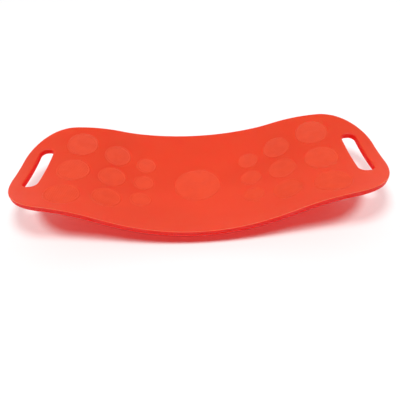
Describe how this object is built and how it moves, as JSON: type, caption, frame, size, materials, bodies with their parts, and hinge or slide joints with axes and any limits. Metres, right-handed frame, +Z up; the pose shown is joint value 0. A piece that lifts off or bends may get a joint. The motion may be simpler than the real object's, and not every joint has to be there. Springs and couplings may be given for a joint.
{
  "type": "balance board",
  "caption": "Long one-piece balance board, dished in the middle and turned up at both ends, with hand slots at the ends and round foot grips inlaid in its top.",
  "frame": {"origin": "middle of the flat rest under the deck, at the board's lowest point", "axes": "+X along the board towards its right end, +Y across it towards its back edge, +Z up"},
  "size_m": [0.67, 0.285, 0.0846],
  "materials": {
    "deck_plastic": "orange-red moulded ABS, satin with a fine grain",
    "grip_rubber": "soft-touch thermoplastic rubber, a shade lighter and more matt than the deck"
  },
  "bodies": {
    "root": {"deck": "deck_plastic", "centre_grip": "grip_rubber", "left_large_grip_back": "grip_rubber", "left_large_grip_middle": "grip_rubber", "left_large_grip_front": "grip_rubber", "left_medium_grip_back": "grip_rubber", "left_medium_grip_middle": "grip_rubber", "left_medium_grip_front": "grip_rubber", "left_small_grip_back": "grip_rubber", "left_small_grip_middle": "grip_rubber", "left_small_grip_front": "grip_rubber", "right_large_grip_back": "grip_rubber", "right_large_grip_middle": "grip_rubber", "right_large_grip_front": "grip_rubber", "right_medium_grip_back": "grip_rubber", "right_medium_grip_middle": "grip_rubber", "right_medium_grip_front": "grip_rubber", "right_small_grip_back": "grip_rubber", "right_small_grip_middle": "grip_rubber", "right_small_grip_front": "grip_rubber"}
  },
  "joints": []
}
